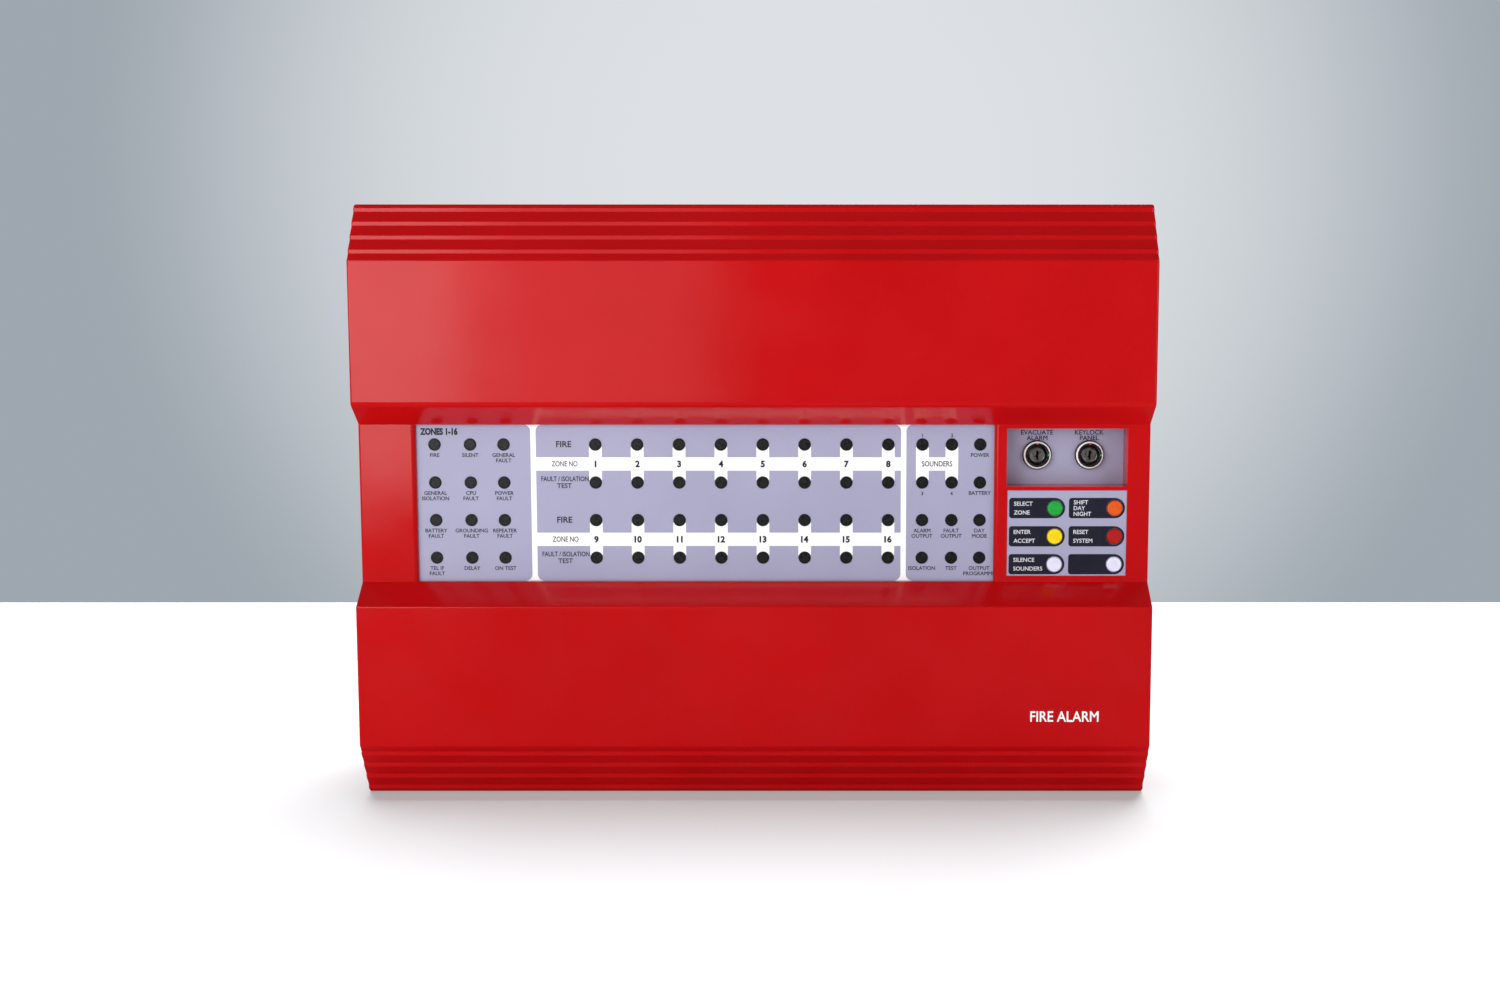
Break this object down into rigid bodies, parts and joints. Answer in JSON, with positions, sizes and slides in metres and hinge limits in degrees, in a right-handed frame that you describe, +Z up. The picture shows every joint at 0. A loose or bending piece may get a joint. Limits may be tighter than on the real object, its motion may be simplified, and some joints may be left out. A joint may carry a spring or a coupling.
{
  "type": "fire alarm control panel",
  "caption": "Wall-mounted fire alarm control panel with a hinged ribbed cover, zone lamp display, key switches and push buttons, opening to boards and standby batteries.",
  "frame": {"origin": "centre of the back face, which lies on the wall", "axes": "+Z up, -Y out of the wall towards the operator, +X to the operator's right"},
  "size_m": [0.4103, 0.105, 0.302],
  "materials": {
    "case_red": "semi-gloss moulded ABS",
    "label_grey": "satin printed polycarbonate",
    "lens_smoke": "smoked gloss lens",
    "led_red": "diffused epoxy",
    "led_amber": "diffused epoxy",
    "led_green": "diffused epoxy",
    "board_green": "solder mask on glass-fibre board",
    "steel": "zinc plated",
    "chrome": "polished",
    "brass": "satin",
    "aluminium": "extruded",
    "black_plastic": "fine texture",
    "white_nylon": "natural nylon",
    "terminal_green": "moulded polyamide",
    "relay_blue": "moulded housing",
    "glass": "clear",
    "rubber": "matte",
    "foam": "closed-cell foam",
    "battery_grey": "moulded ABS",
    "wire_red": "PVC",
    "wire_black": "PVC",
    "wire_brown": "PVC",
    "ribbon_grey": "PVC",
    "winding": "taped winding",
    "button_green": "moulded cap",
    "button_orange": "moulded cap",
    "button_yellow": "moulded cap",
    "button_red": "moulded cap",
    "button_white": "moulded cap"
  },
  "bodies": {
    "case": {"back_box": "case_red", "main_board": "board_green", "supply_board": "board_green", "case_screws": "steel", "clamp_screws": "steel", "clamp_nuts": "steel", "hinge_pins": "steel", "main_ribbon_socket": "black_plastic", "cable_grommets": "rubber", "board_spacers": "white_nylon", "zone_terminals": "terminal_green", "output_terminals": "terminal_green", "terminal_screws": "steel", "relays": "relay_blue", "microcontroller": "black_plastic", "driver_chips": "black_plastic", "fuses": "glass", "fuse_clips": "steel", "capacitors": "black_plastic", "buzzer": "black_plastic", "power_connectors": "white_nylon", "supply_transformer": "winding", "heat_sink": "aluminium", "supply_shield": "steel", "mains_terminals": "black_plastic", "earth_stud": "brass", "mains_wires": "wire_brown", "red_leads": "wire_red", "black_leads": "wire_black", "ribbon_cable": "ribbon_grey", "battery_left": "battery_grey", "battery_right": "battery_grey", "battery_tabs": "steel", "spade_sleeves": "white_nylon", "foam_pads": "foam", "battery_strap": "steel"},
    "cover": {"front_cover": "case_red", "zone_label": "label_grey", "lamp_lenses": "lens_smoke", "zone_fire_leds": "led_red", "zone_fault_leds": "led_amber", "status_leds": "led_green", "display_board": "board_green", "cover_board_screws": "steel", "display_ribbon_socket": "black_plastic", "key_plate": "label_grey", "key_barrels": "chrome", "key_nuts": "chrome", "key_contact_blocks": "black_plastic", "button_plate": "label_grey", "tact_switches": "black_plastic", "button_board": "board_green"},
    "left_key": {"key_plug_left": "chrome"},
    "right_key": {"key_plug_right": "chrome"},
    "top_left_button": {"button_top_left": "button_green"},
    "top_right_button": {"button_top_right": "button_orange"},
    "middle_left_button": {"button_middle_left": "button_yellow"},
    "middle_right_button": {"button_middle_right": "button_red"},
    "bottom_left_button": {"button_bottom_left": "button_white"},
    "bottom_right_button": {"button_bottom_right": "button_white"}
  },
  "joints": [
    {"name": "cover_hinge", "type": "hinge", "parent": "case", "child": "cover", "pos_m": [-0.2042, -0.06415, 0], "axis": [0, 0, -1], "range_deg": [0, 110], "deforming": ["ribbon_cable"]},
    {"name": "left_key_turn", "type": "hinge", "parent": "cover", "child": "left_key", "pos_m": [0.1443, -0.07, 0.0236], "axis": [0, 1, 0], "range_deg": [0, 90]},
    {"name": "right_key_turn", "type": "hinge", "parent": "cover", "child": "right_key", "pos_m": [0.1711, -0.07, 0.0236], "axis": [0, 1, 0], "range_deg": [0, 90]},
    {"name": "top_left_button_press", "type": "slide", "parent": "cover", "child": "top_left_button", "axis": [0, 1, 0], "range_m": [0, 0.0008], "stiffness_N_per_m": 500, "springref_m": -0.001},
    {"name": "top_right_button_press", "type": "slide", "parent": "cover", "child": "top_right_button", "axis": [0, 1, 0], "range_m": [0, 0.0008], "stiffness_N_per_m": 500, "springref_m": -0.001},
    {"name": "middle_left_button_press", "type": "slide", "parent": "cover", "child": "middle_left_button", "axis": [0, 1, 0], "range_m": [0, 0.0008], "stiffness_N_per_m": 500, "springref_m": -0.001},
    {"name": "middle_right_button_press", "type": "slide", "parent": "cover", "child": "middle_right_button", "axis": [0, 1, 0], "range_m": [0, 0.0008], "stiffness_N_per_m": 500, "springref_m": -0.001},
    {"name": "bottom_left_button_press", "type": "slide", "parent": "cover", "child": "bottom_left_button", "axis": [0, 1, 0], "range_m": [0, 0.0008], "stiffness_N_per_m": 500, "springref_m": -0.001},
    {"name": "bottom_right_button_press", "type": "slide", "parent": "cover", "child": "bottom_right_button", "axis": [0, 1, 0], "range_m": [0, 0.0008], "stiffness_N_per_m": 500, "springref_m": -0.001}
  ]
}
